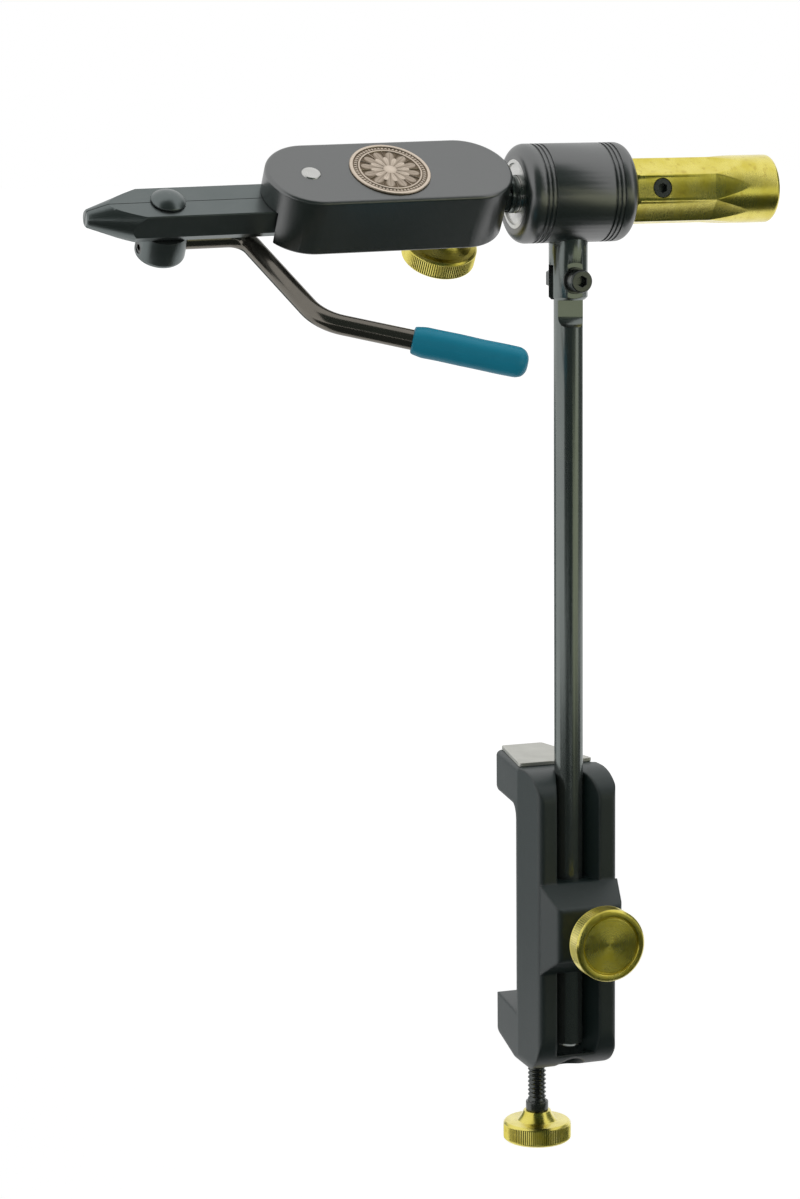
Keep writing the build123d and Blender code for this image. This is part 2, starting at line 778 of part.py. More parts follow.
# Head housing: a stadium block, slotted in front for the jaws and behind for the shaft's tongue
head_up = head_frame.z_dir
head_span = head_front_centre + head_rear_centre
head_middle = (head_front_centre - head_rear_centre) / 2
head_upright = Axis(head_frame.origin, head_up)
lock_axis_up = line_through(head_frame, head_up)
dowel_axis = line_through(head_frame, head_up, x=dowel_place)
medallion_axis = line_through(head_frame, head_up, x=medallion_place)
slot_back = jaw_tail - jaw_room
slot_length = head_front_centre + head_width - slot_back
slot_roof = jaw_top + seat_gap
slot_width = jaw_width + 2 * jaw_room
pocket_half = shaft_radius + free_gap
pocket_mouth = pocket_half + (head_rear_centre + head_width) * tan(radians(swing_room))
with BuildPart() as head_housing:
    with BuildSketch(level(head_frame, x=head_middle, z=-head_bottom)):
        SlotCenterToCenter(head_span, head_width)
    extrude(amount=head_top + head_bottom)
    fillet(head_housing.edges().group_by(head_upright)[-1], head_top_round)
    fillet(head_housing.edges().group_by(head_upright)[0], head_bottom_round)
    with BuildSketch(level(head_frame, x=slot_back, z=slot_roof)):
        Rectangle(slot_length, slot_width, align=(Align.MIN, Align.CENTER))
    extrude(amount=-slot_roof - head_bottom - overrun, mode=Mode.SUBTRACT)
    with BuildSketch(level(head_frame, z=-shaft_tongue_thickness / 2 - running_gap)):
        Circle(pocket_half)
        with BuildLine():
            Polyline(
                (0, -pocket_half),
                (0, pocket_half),
                (-head_rear_centre - head_width, pocket_mouth),
                (-head_rear_centre - head_width, -pocket_mouth),
                close=True,
            )
        make_face()
    extrude(amount=shaft_tongue_thickness + 2 * running_gap, mode=Mode.SUBTRACT)
    turn(
        lock_axis_up,
        rod(-head_bottom - overrun, lock_screw_depth, lock_screw_diameter / 2 + running_gap),
        Mode.SUBTRACT,
    )
    turn(dowel_axis, rod(-head_bottom - overrun, head_top + overrun, dowel_diameter / 2), Mode.SUBTRACT)
    turn(
        medallion_axis,
        rod(head_top - medallion_sink, head_top + overrun, medallion_diameter / 2),
        Mode.SUBTRACT,
    )
save(head_housing, "head_housing")

medallion_base = head_top - medallion_sink
medallion_face = medallion_base + medallion_thickness - medallion_rim_height
medallion_radius = medallion_diameter / 2
with BuildPart() as medallion:
    turn(
        medallion_axis,
        [
            (medallion_base, 0),
            (medallion_base, medallion_radius),
            (medallion_face, medallion_radius),
            (medallion_face + medallion_rim_height, medallion_radius - medallion_rim_height),
            (medallion_face + medallion_rim_height, medallion_radius - medallion_rim_width),
            (medallion_face, medallion_radius - medallion_rim_width - medallion_rim_height),
            (medallion_face, 0),
        ],
    )
save(medallion, "medallion")

dowel_radius = dowel_diameter / 2
with BuildPart() as jaw_dowel:
    turn(
        dowel_axis,
        [
            (-jaw_bottom_drop, 0),
            (-jaw_bottom_drop, dowel_radius - dowel_chamfer),
            (dowel_chamfer - jaw_bottom_drop, dowel_radius),
            (head_top + dowel_stand - dowel_chamfer, dowel_radius),
            (head_top + dowel_stand, dowel_radius - dowel_chamfer),
            (head_top + dowel_stand, 0),
        ],
    )
save(jaw_dowel, "jaw_dowel")

# Head lock: a brass thumbscrew that clamps the housing on the shaft's tongue
lock_radius = lock_screw_diameter / 2
lock_neck_top = -head_bottom - seat_gap
lock_flare_top = lock_neck_top - lock_neck_height
lock_wheel_top = lock_flare_top - lock_flare_height
lock_wheel_base = lock_wheel_top - lock_wheel_height
lock_screw_foot = lock_wheel_top - lock_wheel_height / 2
with BuildPart() as head_lock_screw:
    turn(lock_axis_up, rod(lock_screw_foot, lock_screw_depth - free_gap, lock_radius))
save(head_lock_screw, "head_lock_screw")

with BuildPart() as head_lock_knob:
    turn(
        lock_axis_up,
        [
            (lock_neck_top, lock_radius),
            (lock_neck_top, lock_neck_width / 2),
            (lock_flare_top, lock_neck_width / 2),
            (lock_wheel_top, lock_flare_width / 2),
            (lock_wheel_top, knurled_radius - knob_chamfer),
            (lock_wheel_top - knob_chamfer, knurled_radius),
            (lock_wheel_base + knob_chamfer, knurled_radius),
            (lock_wheel_base, knurled_radius - knob_chamfer),
            (lock_wheel_base, dish_radius),
            (lock_wheel_base + knob_dish_step, dish_radius),
            (lock_wheel_base + knob_dish_depth, 0),
            (lock_screw_foot, 0),
            (lock_screw_foot, lock_radius),
        ],
    )
save(head_lock_knob, "head_lock_knob")

# Jaws: one bar split down the middle, with a conical nose
half_jaw = jaw_width / 2
half_split = jaw_split / 2
jaw_middle = (jaw_top - jaw_bottom_drop) / 2
nose_axis = line_through(head_frame, head_frame.x_dir, z=jaw_middle)
nose_end = jaw_tip - nose_tip_chamfer
nose_slope = (nose_start_radius - nose_tip_radius) / (nose_end - nose_start)
nose_root = nose_start - (half_jaw + jaw_bottom_drop) * nose_slope
nose_root_radius = nose_tip_radius + (nose_end - nose_root) * nose_slope
spring_axis = line_through(head_frame, head_frame.y_dir, x=spring_place, z=jaw_middle)
with BuildPart() as jaw_near:
    with BuildSketch(endwise(head_frame, x=jaw_tail)):
        with BuildLine():
            Polyline(
                (half_split, jaw_top),
                (half_jaw - jaw_edge_chamfer, jaw_top),
                (half_jaw, jaw_top - jaw_edge_chamfer),
                (half_jaw, -jaw_side_drop),
                (jaw_bevel_width / 2, -jaw_bottom_drop),
                (half_split, -jaw_bottom_drop),
                close=True,
            )
        make_face()
    extrude(amount=jaw_tip - jaw_tail)
    turn(
        nose_axis,
        [
            (jaw_tail - overrun, 0),
            (jaw_tail - overrun, head_width),
            (nose_root, head_width),
            (nose_root, nose_root_radius),
            (nose_end, nose_tip_radius),
            (jaw_tip, nose_tip_radius - nose_tip_chamfer),
            (jaw_tip, 0),
        ],
        Mode.INTERSECT,
    )
    turn(
        dowel_axis,
        rod(-jaw_bottom_drop - overrun, jaw_top + overrun, dowel_radius + running_gap),
        Mode.SUBTRACT,
    )
    with BuildSketch(level(head_frame, z=jaw_top)):
        with Locations((jaw_tail, 0)):
            Rectangle(
                dowel_place - jaw_tail, 2 * jaw_tail_relief, align=(Align.MIN, Align.CENTER)
            )
        with Locations((cam_place, 0)):
            Rectangle(
                2 * (cam_long_radius + free_gap), 2 * (cam_rest_reach + cam_pocket_gap)
            )
    extrude(amount=-jaw_top - jaw_bottom_drop, mode=Mode.SUBTRACT)
    turn(
        spring_axis,
        rod(0, jaw_tail_relief + spring_pocket_depth, spring_diameter / 2 + seat_gap),
        Mode.SUBTRACT,
    )
save(jaw_near, "jaw_near")

with BuildPart() as jaw_far:
    mirror(jaw_near.part, about=upright(head_frame))
save(jaw_far, "jaw_far")

with BuildPart() as jaw_spring:
    spring_half = jaw_tail_relief + spring_pocket_depth - spring_end_gap
    turn(spring_axis, ring(-spring_half, spring_half, spring_bore / 2, spring_diameter / 2))
save(jaw_spring, "jaw_spring")

# Cam between the jaws, with a dome above them and a barrel below
cam_axis = line_through(head_frame, head_up, x=cam_place)
dome_base = jaw_top + seat_gap
barrel_top = -jaw_bottom_drop - seat_gap
barrel_base = barrel_top - barrel_height
with BuildPart() as cam_pin:
    with BuildSketch(level(head_frame, x=cam_place, z=barrel_top)):
        Ellipse(cam_long_radius, cam_short_radius, rotation=cam_rest_turn)
    extrude(amount=dome_base - barrel_top)
    with BuildSketch(
        Plane(cam_axis.position, x_dir=head_up, z_dir=head_frame.y_dir)
    ) as dome_profile:
        with BuildLine():
            Polyline(
                (dome_base + dome_height, 0),
                (dome_base, 0),
                (dome_base, dome_diameter / 2),
                (dome_base + dome_edge, dome_diameter / 2),
            )
            TangentArc(
                (dome_base + dome_height, 0),
                (dome_base + dome_edge, dome_diameter / 2),
                tangent=(0, 1),
            )
        make_face()
    revolve(axis=cam_axis)
    turn(cam_axis, rod(barrel_top - cam_spigot_length, barrel_top, cam_spigot_diameter / 2))
save(cam_pin, "cam_pin")

rod_axis = line_through(head_frame, head_frame.x_dir, z=-rod_drop)
rod_start = cam_place - barrel_diameter / 2 + rod_seat_depth
set_screw_turn = radians(barrel_set_screw_angle)
set_screw_way = head_frame.x_dir * cos(set_screw_turn) + head_frame.y_dir * sin(set_screw_turn)
barrel_screw_axis = line_through(head_frame, set_screw_way, x=cam_place, z=-barrel_set_screw_drop)
set_screw_face = barrel_diameter / 2 - set_screw_sink
with BuildPart() as cam_barrel:
    turn(cam_axis, rod(barrel_base, barrel_top, barrel_diameter / 2))
    fillet(cam_barrel.edges().group_by(head_upright)[0], barrel_round)
    turn(
        cam_axis,
        rod(barrel_top - cam_spigot_length, barrel_top + overrun, cam_spigot_diameter / 2),
        Mode.SUBTRACT,
    )
    turn(rod_axis, rod(cam_place - barrel_diameter, rod_start, rod_diameter / 2), Mode.SUBTRACT)
    turn(barrel_screw_axis, rod(0, barrel_diameter, barrel_set_screw_diameter / 2), Mode.SUBTRACT)
save(cam_barrel, "cam_barrel")

with BuildPart() as barrel_set_screw:
    turn(
        barrel_screw_axis,
        rod(set_screw_face - barrel_set_screw_length, set_screw_face, barrel_set_screw_diameter / 2),
    )
    cut_hex(barrel_screw_axis, set_screw_face, barrel_set_screw_socket, set_screw_socket_depth)
save(barrel_set_screw, "barrel_set_screw")

# Lever: a rod bent twice in one plane, with a vinyl sleeve on its free end
rod_plane = level(head_frame, z=-rod_drop)
with BuildPart() as lever_rod:
    with BuildLine(rod_plane) as rod_line:
        FilletPolyline(
            (rod_start, 0),
            (rod_first_bend, 0),
            (rod_second_bend, rod_second_side),
            (rod_end, rod_end_side),
            radius=[rod_first_radius, rod_second_radius],
        )
    with BuildSketch(endwise(head_frame, x=rod_start, z=-rod_drop)):
        Circle(rod_diameter / 2)
    sweep()
save(lever_rod, "lever_rod")

rod_finish = rod_plane.from_local_coords((rod_end, rod_end_side, 0))
rod_elbow = rod_plane.from_local_coords((rod_second_bend, rod_second_side, 0))
grip_axis = Axis(rod_finish, rod_finish - rod_elbow)
with BuildPart() as lever_grip:
    with BuildSketch(
        Plane(rod_finish, x_dir=grip_axis.direction, z_dir=head_up)
    ) as grip_profile:
        with BuildLine():
            Polyline(
                (-grip_length, rod_diameter / 2),
                (-grip_length, grip_mouth_diameter / 2),
                (grip_mouth_taper - grip_length, grip_diameter / 2),
                (grip_end_cap, grip_diameter / 2),
                (grip_end_cap, 0),
                (0, 0),
                (0, rod_diameter / 2),
                close=True,
            )
        make_face()
        fillet(grip_profile.vertices().group_by(Axis.X)[0].sort_by(Axis.Y)[-1], grip_mouth_round)
        fillet(grip_profile.vertices().group_by(Axis.X)[-1].sort_by(Axis.Y)[-1], grip_end_round)
    revolve(axis=grip_axis)
save(lever_grip, "lever_grip")
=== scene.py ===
import json
import math

import bpy
import numpy
from mathutils import Matrix, Vector

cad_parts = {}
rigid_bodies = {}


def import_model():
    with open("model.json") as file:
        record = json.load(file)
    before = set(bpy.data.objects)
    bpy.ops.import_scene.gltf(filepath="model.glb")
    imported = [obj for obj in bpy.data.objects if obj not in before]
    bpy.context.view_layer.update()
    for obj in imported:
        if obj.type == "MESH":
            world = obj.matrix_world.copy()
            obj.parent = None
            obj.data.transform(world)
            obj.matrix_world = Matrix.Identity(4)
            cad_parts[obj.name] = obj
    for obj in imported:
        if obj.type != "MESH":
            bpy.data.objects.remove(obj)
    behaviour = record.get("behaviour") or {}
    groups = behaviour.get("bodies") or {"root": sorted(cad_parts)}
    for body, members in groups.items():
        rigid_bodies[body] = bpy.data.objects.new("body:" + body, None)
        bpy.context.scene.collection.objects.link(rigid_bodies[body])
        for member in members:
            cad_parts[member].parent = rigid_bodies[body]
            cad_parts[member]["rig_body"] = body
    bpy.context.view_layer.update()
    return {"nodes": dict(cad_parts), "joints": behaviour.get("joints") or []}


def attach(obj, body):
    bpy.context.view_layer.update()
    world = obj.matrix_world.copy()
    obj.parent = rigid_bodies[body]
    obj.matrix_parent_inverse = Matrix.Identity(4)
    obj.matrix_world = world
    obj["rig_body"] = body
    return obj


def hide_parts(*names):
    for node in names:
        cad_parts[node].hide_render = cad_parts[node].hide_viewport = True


# Lengths are in metres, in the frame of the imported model: +Z up the stem, +X towards the rotary knob.
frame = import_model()
nodes = frame["nodes"]
joints = {joint["name"]: joint for joint in frame["joints"]}
mm = 0.001

# Camera, found from the outlines of the hub, stem, medallion and clamp
camera_place = Vector((-0.43026, -1.06520, 0.24701))
camera_azimuth = math.radians(19.71)
camera_pitch = math.radians(8.92)
camera_roll = math.radians(-0.48)
camera_lens = 103.56
camera_sensor = 36.0

# Knurled knobs
knurl_count = 104
knurl_depth = 0.16 * mm
knurl_run_out = 0.35 * mm
knurl_segments = 4
knob_edge = 0.7 * mm
knob_softening = 0.22 * mm
knob_rim_width = 2.2 * mm
knob_groove_width = 0.5 * mm
knob_groove_slope = knob_groove_width / 2
knob_groove_depth = 1.0 * mm
knob_dish_step = 0.55 * mm
knob_dish_depth = 1.2 * mm
brushed_shine = 0.75
lock_neck_radius = 6.5 * mm
lock_wheel_height = 7.1 * mm
cone_top_radius = 4.65 * mm
cone_base_radius = 6.8 * mm
cone_height = 3.5 * mm
cone_hollow = 0.25 * mm
clamp_wheel_height = 6.7 * mm
thumb_neck_radius = 6.0 * mm
thumb_neck_length = 4.3 * mm
thumb_flare_radius = 9.75 * mm
thumb_flare_length = 4.5 * mm
thumb_flare_hollow = 0.9 * mm
thumb_wheel_height = 6.6 * mm

# Threaded clamp screw
screw_radius = 3.175 * mm
screw_tip_radius = 2.5 * mm
screw_segments = 48
collar_radius = 3.85 * mm
collar_height = 3.3 * mm
collar_softening = 0.3 * mm
thread_pitch = 1.5 * mm
thread_depth = 0.62 * mm
thread_steepness = 1.15
thread_rows = 8

# Fluted rotary knob and the hole of its set screw
bar_chamfer = 0.6 * mm
bar_end_round = 1.6 * mm
bar_end_rows = 8
flute_count = 8
flute_radius = 28.0 * mm
flute_length = 27.3 * mm
flute_run_out = 12.0 * mm
flute_run_out_power = 1.5
flute_rows = 48
flute_segments = 48
set_screw_gap = 0.3 * mm
drill_segments = 64

# Medallion: the rosette's places are shares of its radius, and its heights shares of its relief.
medallion_relief = 0.42 * mm
medallion_edge = 0.3 * mm
medallion_rows = 80
medallion_segments = 360
rim_place = 0.93
bead_count = 60
bead_ground_place = 0.80
bead_ground_height = 0.15
bead_middle = 0.865
bead_half_width = 0.05
bead_height = 0.7
ring_place = 0.755
ring_height = 0.75
button_place = 0.17
button_edge_height = 0.45
button_dome_height = 0.5
petal_count = 12
petal_power = 5
petal_root_height = 0.62
petal_least_width = 0.01
outer_petals = {"tip": 0.73, "turn": 0.0, "height": 0.62}
inner_petals = {"tip": 0.50, "turn": 0.5, "height": 0.92}
vein_depth = 0.18
vein_half_width = 0.16
hollow_height = 0.08

# Vinyl grip: each wave of its ripple is given by the length of one radian.
grip_mouth_radius = 4.25 * mm
grip_taper = 3.6 * mm
grip_softening = 0.9 * mm
grip_plain_start = 1.0 * mm
grip_rows = 40
grip_segments = 96
grip_end_round = 3.8 * mm
grip_end_rows = 10
grip_ripple = 0.03 * mm
grip_short_wave = 2.1 * mm
grip_long_wave = 3.4 * mm
grip_ripple_reach = 0.9

# Coil spring
spring_wire_radius = 0.4 * mm
spring_turns = 7
spring_rows = 32
spring_wire_segments = 12

# Edges: rounds on the CAD nodes, and the angle above which an edge is shaded as sharp
large_round = 0.35 * mm
small_round = 0.22 * mm
fine_round = 0.15 * mm
round_segments = 3
round_angle = math.radians(35)
flat_angle = math.radians(0.4)
weld_gap = 0.002 * mm
sharp_angle = math.radians(32)

# Curves of the turned outlines
soften_rows = 3
soften_limit = 0.45
flare_rows = 8

# Studio
floor_height = -0.24
floor_size = 24.0
floor_shade = 0.6
floor_glow_near, floor_glow_far = 0.60, 0.74
floor_glow_start, floor_glow_end = 0.4, 1.8
room_light = 0.55
lamp_power = 3.8
low_flag_lift = 0.02
head_flag_lift = 0.03
above_flags = 1.0


class Line:
    """An axis in space with two directions square to it."""

    def __init__(self, origin, direction, towards=None):
        self.origin = Vector(origin)
        self.direction = Vector(direction).normalized()
        squarest = min(Matrix.Identity(3), key=lambda axis: abs(axis.dot(self.direction)))
        away = squarest if towards is None else Vector(towards) - self.origin
        self.side = (away - self.direction * away.dot(self.direction)).normalized()
        self.other = self.direction.cross(self.side)

    def placed(self):
        """Placement whose Z axis runs along the line."""
        turned = Matrix((self.side, self.other, self.direction)).transposed().to_4x4()
        return Matrix.Translation(self.origin) @ turned

    def offsets(self, node):
        """Steps from the line's origin to a node's corners."""
        return [corner.co - self.origin for corner in nodes[node].data.vertices]

    def span(self, node):
        """Lowest and highest distance of a node's corners along the line."""
        distances = [offset.dot(self.direction) for offset in self.offsets(node)]
        return min(distances), max(distances)

    def reach(self, node):
        """Greatest distance of a node's corners from the line."""
        return max(
            (offset - self.direction * offset.dot(self.direction)).length for offset in self.offsets(node)
        )


def joint_line(name):
    """Axis of a joint of the frame."""
    return Line(joints[name]["pos_m"], joints[name]["axis"])


def middle_of(node):
    """Middle of a node's box."""
    corners = numpy.array([corner.co for corner in nodes[node].data.vertices])
    return Vector((corners.min(axis=0) + corners.max(axis=0)) / 2)


def long_line(node, away_from):
    """Line along the longest run of a node, turned away from a direction."""
    corners = numpy.array([corner.co for corner in nodes[node].data.vertices])
    run = Vector(numpy.linalg.svd(corners - corners.mean(axis=0), full_matrices=False)[2][0])
    return Line(middle_of(node), -run if run.dot(away_from) > 0 else run)


# Lines of the pieces: each knob's line points out through its face.
upright_line = Line((0, 0, 0), (0, 0, 1))
stem_lock_line = joint_line("stem_lock_turn")
clamp_screw_line = Line(joints["clamp_screw_turn"]["pos_m"], (0, 0, -1))
head_lock_line = joint_line("head_lock_turn")
head_line = joint_line("head_swing")
rotary_line = joint_line("rotary_turn")
cam_line = joint_line("lever_squeeze")
stem_line = Line(rotary_line.origin, (0, 0, 1))
head_forward = (cam_line.origin - head_line.origin).normalized()
grip_line = long_line("lever_grip", head_forward)
medallion_line = Line(middle_of("medallion"), head_line.direction)
spring_line = Line(middle_of("jaw_spring"), head_line.direction.cross(head_forward))
bar_line = Line(rotary_line.origin, rotary_line.direction, middle_of("knob_set_screw"))


class Value:
    """A shader socket that takes part in Python sums."""

    def __init__(self, finish, socket):
        self.finish = finish
        self.socket = socket

    def __add__(self, other):
        return self.finish.maths("ADD", self, other)

    def __radd__(self, other):
        return self.finish.maths("ADD", other, self)

    def __sub__(self, other):
        return self.finish.maths("SUBTRACT", self, other)

    def __rsub__(self, other):
        return self.finish.maths("SUBTRACT", other, self)

    def __mul__(self, other):
        return self.finish.maths("MULTIPLY", self, other)

    def __rmul__(self, other):
        return self.finish.maths("MULTIPLY", other, self)


class Finish:
    """A material and the nodes that make it."""

    def __init__(self, name, tree=None):
        if tree is None:
            self.material = bpy.data.materials.new(name)
            self.material.use_nodes = True
            tree = self.material.node_tree
        self.tree = tree
        self.tree.nodes.clear()

    def node(self, kind, settings, values, output=0):
        """Add a node, set it up, fill its sockets and return one of its outputs."""
        made = self.tree.nodes.new(kind)
        for name, setting in settings.items():
            setattr(made, name, setting)
        for key, value in values.items():
            if isinstance(value, Value):
                self.tree.links.new(value.socket, made.inputs[key])
            else:
                made.inputs[key].default_value = value
        return Value(self, made.outputs[output]) if made.outputs else None

    def maths(self, operation, first, second):
        """Result of one Math node on two values."""
        return self.node("ShaderNodeMath", {"operation": operation}, {0: first, 1: second})

    def vector_maths(self, operation, values, output="Vector"):
        """Result of one Vector Math node on a list of vectors."""
        return self.node("ShaderNodeVectorMath", {"operation": operation}, dict(enumerate(values)), output)

    def place(self, stretch=(1, 1, 1)):
        """Position on the piece in its own metres, stretched along each axis."""
        here = self.node("ShaderNodeTexCoord", {}, {}, "Object")
        return self.vector_maths("MULTIPLY", [here, stretch])

    def noise(self, per_metre, detail=3.0, stretch=(1, 1, 1)):
        """Cloudy value about one half, with so many patches to the metre."""
        values = {"Vector": self.place(stretch), "Scale": per_metre, "Detail": detail}
        return self.node("ShaderNodeTexNoise", {}, values)

    def ease(self, value, low, high, bottom=0.0, top=1.0):
        """Smooth step from bottom to top as the value goes from low to high."""
        values = {"Value": value, "From Min": low, "From Max": high, "To Min": bottom, "To Max": top}
        return self.node("ShaderNodeMapRange", {"interpolation_type": "SMOOTHSTEP"}, values)

    def mix(self, share, first, second):
        """Blend of two colours."""
        return self.node("ShaderNodeMix", {"data_type": "RGBA"}, {0: share, 6: first, 7: second}, 2)

    def offset(self, line):
        """Step from a line's origin to the place on the piece."""
        return self.vector_maths("SUBTRACT", [self.place(), tuple(line.origin)])

    def along(self, line):
        """Distance along a line."""
        return self.vector_maths("DOT_PRODUCT", [self.offset(line), tuple(line.direction)], "Value")

    def radius(self, line):
        """Distance from a line."""
        square = self.vector_maths("CROSS_PRODUCT", [self.offset(line), tuple(line.direction)])
        return self.vector_maths("LENGTH", [square], "Value")

    def rings(self, value, per_metre, detail=2.0):
        """Fine lines that follow one measure, as a lathe leaves them."""
        values = {"W": value, "Scale": per_metre, "Detail": detail}
        return self.node("ShaderNodeTexNoise", {"noise_dimensions": "1D"}, values)

    def edge(self, width):
        """Nearness to a sharp edge, from 0 on a flat to about 1."""
        rounded = self.node("ShaderNodeBevel", {"samples": 4}, {"Radius": width})
        facing = self.node("ShaderNodeNewGeometry", {}, {}, "Normal")
        agreement = self.vector_maths("DOT_PRODUCT", [rounded, facing], "Value")
        return self.ease(1 - agreement, low=0.02, high=0.3)

    def bump(self, height, depth, rounding=0.0):
        """Normal of a surface that rises by the depth as the height goes from 0 to 1.

        With a rounding, its sharp edges are shaded as rounded off by that radius.
        """
        values = {"Strength": 1.0, "Distance": depth, "Height": height}
        if rounding:
            values["Normal"] = self.node("ShaderNodeBevel", {"samples": 6}, {"Radius": rounding})
        return self.node("ShaderNodeBump", {}, values)

    def seen_directly(self):
        """1 for what the camera sees straight, in a reflection or through glass, and 0 for lighting."""
        rays = [
            self.node("ShaderNodeLightPath", {}, {}, name)
            for name in ("Is Camera Ray", "Is Glossy Ray", "Is Transmission Ray")
        ]
        return self.maths("MAXIMUM", self.maths("MAXIMUM", rays[0], rays[1]), rays[2])

    def surface(self, values):
        """Finish the material with one principled surface."""
        shader = self.node("ShaderNodeBsdfPrincipled", {}, values)
        self.node("ShaderNodeOutputMaterial", {}, {"Surface": shader})
        return self.material


def colour(red, green, blue):
    """Opaque colour."""
    return (red, green, blue, 1.0)


# Finishes
def black_anodised():
    """Fine matt black of the hub and the head, with a little handling shine."""
    finish = Finish("black_anodised")
    grain = finish.noise(per_metre=2600.0, detail=2.0)
    handling = finish.noise(per_metre=45.0, detail=4.0)
    patches = finish.ease(finish.noise(per_metre=260.0), low=0.35, high=0.7)
    wear = finish.edge(width=0.35 * mm) * patches
    base = finish.mix(handling, colour(0.005, 0.012, 0.0105), colour(0.009, 0.017, 0.015))
    return finish.surface({
        "Base Color": finish.mix(wear * 0.35, base, colour(0.09, 0.095, 0.095)),
        "Roughness": 0.26 + handling * 0.08 + grain * 0.06,
        "IOR": 2.4,
        "Normal": finish.bump(grain, depth=0.006 * mm),
    })


def black_rod(line, name):
    """Black oxide steel, drawn or turned, with faint lines round its axis."""
    finish = Finish(name)
    lines = finish.rings(finish.along(line), per_metre=5200.0)
    cloud = finish.noise(per_metre=90.0, detail=4.0)
    patches = finish.ease(finish.noise(per_metre=300.0), low=0.4, high=0.7)
    wear = finish.edge(width=0.3 * mm) * patches
    base = finish.mix(cloud, colour(0.16, 0.18, 0.172), colour(0.20, 0.22, 0.21))
    return finish.surface({
        "Base Color": finish.mix(wear * 0.5, base, colour(0.30, 0.30, 0.29)),
        "Metallic": 0.9,
        "Roughness": 0.16 + cloud * 0.08 + lines * 0.03,
        "Normal": finish.bump(lines, depth=0.0012 * mm),
    })


def black_steel():
    """Black oxide on the screws, the washer, the nut and the clamp's foot."""
    finish = Finish("black_steel")
    cloud = finish.noise(per_metre=400.0)
    wear = finish.edge(width=0.15 * mm)
    base = finish.mix(cloud, colour(0.085, 0.092, 0.088), colour(0.125, 0.132, 0.126))
    return finish.surface({
        "Base Color": finish.mix(wear * 0.6, base, colour(0.36, 0.36, 0.34)),
        "Metallic": 0.9,
        "Roughness": 0.22 + cloud * 0.12,
        "Normal": finish.bump(cloud, depth=0.005 * mm),
    })


def jaw_steel():
    """Ground and blackened steel of the jaws and the cam, with fine lines along it."""
    finish = Finish("jaw_steel")
    grinding = finish.noise(per_metre=5200.0, detail=2.0, stretch=(0.02, 1.0, 1.0))
    cloud = finish.noise(per_metre=120.0, detail=4.0)
    patches = finish.ease(finish.noise(per_metre=220.0), low=0.3, high=0.65)
    wear = finish.edge(width=0.3 * mm) * patches
    base = finish.mix(cloud, colour(0.13, 0.152, 0.15), colour(0.17, 0.19, 0.187))
    return finish.surface({
        "Base Color": finish.mix(wear * 0.55, base, colour(0.24, 0.245, 0.245)),
        "Metallic": 0.88,
        "Roughness": 0.24 + cloud * 0.08 + grinding * 0.06,
        "Normal": finish.bump(grinding, depth=0.004 * mm),
    })


def cast_black():
    """Satin black coat on the casting: a slight orange peel, rubbed on its edges."""
    finish = Finish("cast_black")
    peel = finish.noise(per_metre=900.0, detail=2.0)
    sand = finish.noise(per_metre=3200.0, detail=2.0)
    cloud = finish.noise(per_metre=40.0, detail=4.0)
    specks = finish.ease(finish.noise(per_metre=1500.0, detail=1.0), low=0.74, high=0.8)
    patches = finish.ease(finish.noise(per_metre=160.0, detail=5.0), low=0.4, high=0.7)
    wear = finish.edge(width=0.9 * mm) * patches
    base = finish.mix(cloud, colour(0.005, 0.016, 0.0155), colour(0.013, 0.026, 0.025))
    rubbed = finish.mix(wear * 0.35, base, colour(0.10, 0.095, 0.085))
    return finish.surface({
        "Base Color": finish.mix(specks * 0.3, rubbed, colour(0.12, 0.12, 0.115)),
        "Roughness": 0.40 + cloud * 0.12 + sand * 0.06,
        "IOR": 1.65,
        "Normal": finish.bump(peel * 0.7 + sand * 0.3, depth=0.03 * mm, rounding=1.5 * mm),
    })


def plate_metal():
    """Bare plate on the upper arm: dull, brushed and a little stained."""
    finish = Finish("plate_metal")
    brushing = finish.noise(per_metre=4200.0, detail=2.0, stretch=(1.0, 0.03, 1.0))
    stain = finish.noise(per_metre=130.0, detail=5.0)
    return finish.surface({
        "Base Color": finish.mix(stain, colour(0.66, 0.66, 0.61), colour(0.50, 0.50, 0.46)),
        "Metallic": 0.75,
        "Roughness": 0.42 + stain * 0.15 + brushing * 0.08,
        "Normal": finish.bump(brushing, depth=0.005 * mm),
    })


def brass(name, line, faced, brushed=0.0):
    """Turned brass. A faced piece has rings about its axis, and a bar has lines round it."""
    finish = Finish(name)
    lines = finish.rings(finish.radius(line) if faced else finish.along(line), per_metre=9000.0)
    tarnish = finish.noise(per_metre=150.0, detail=5.0)
    spots = finish.ease(finish.noise(per_metre=420.0, detail=4.0), low=0.56, high=0.72)
    dullness = finish.ease(tarnish, low=0.35, high=0.75)
    clean = finish.mix(dullness, colour(0.80, 0.70, 0.15), colour(0.67, 0.56, 0.055))
    return finish.surface({
        "Base Color": finish.mix(spots * 0.45, clean, colour(0.44, 0.31, 0.03)),
        "Metallic": 1.0,
        "Roughness": 0.20 + tarnish * 0.10 + lines * 0.06,
        "Anisotropic": brushed,
        "Anisotropic Rotation": 0.25,
        "Coat Weight": 0.6,
        "Coat Roughness": 0.2,
        "Normal": finish.bump(lines, depth=0.010 * mm),
    })


